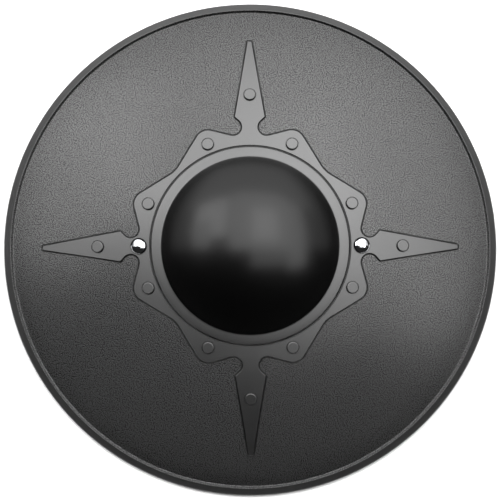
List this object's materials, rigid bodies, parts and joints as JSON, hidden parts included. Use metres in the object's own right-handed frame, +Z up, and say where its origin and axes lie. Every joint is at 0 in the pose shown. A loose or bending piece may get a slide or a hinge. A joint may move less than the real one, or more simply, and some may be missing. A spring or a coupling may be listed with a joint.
{
  "type": "buckler",
  "caption": "Round dished buckler moulded in black plastic, with a raised rim, a pebbled face, a low star plate with rivet heads, a ringed dome boss and a hand grip bolted behind it.",
  "frame": {"origin": "on the floor, under the middle of the disc, where the flat foot of the rim rests", "axes": "+Z up out of the face along the boss's axis, +Y to the top point of the star, +X to the right bolt as seen from the front"},
  "size_m": [0.362, 0.362, 0.0622],
  "materials": {
    "black_plastic": "black moulded polypropylene: satin on the star, ring and rim, pebble grain on the field, glossier on the boss",
    "grip_plastic": "black moulded plastic with a fine matt grain",
    "bolt_chrome": "bright chrome plate, smooth",
    "nut_steel": "zinc-plated steel, dull bright"
  },
  "bodies": {
    "root": {"shield": "black_plastic", "grip": "grip_plastic", "bolt_left": "bolt_chrome", "bolt_right": "bolt_chrome", "nut_left": "nut_steel", "nut_right": "nut_steel"}
  },
  "joints": []
}
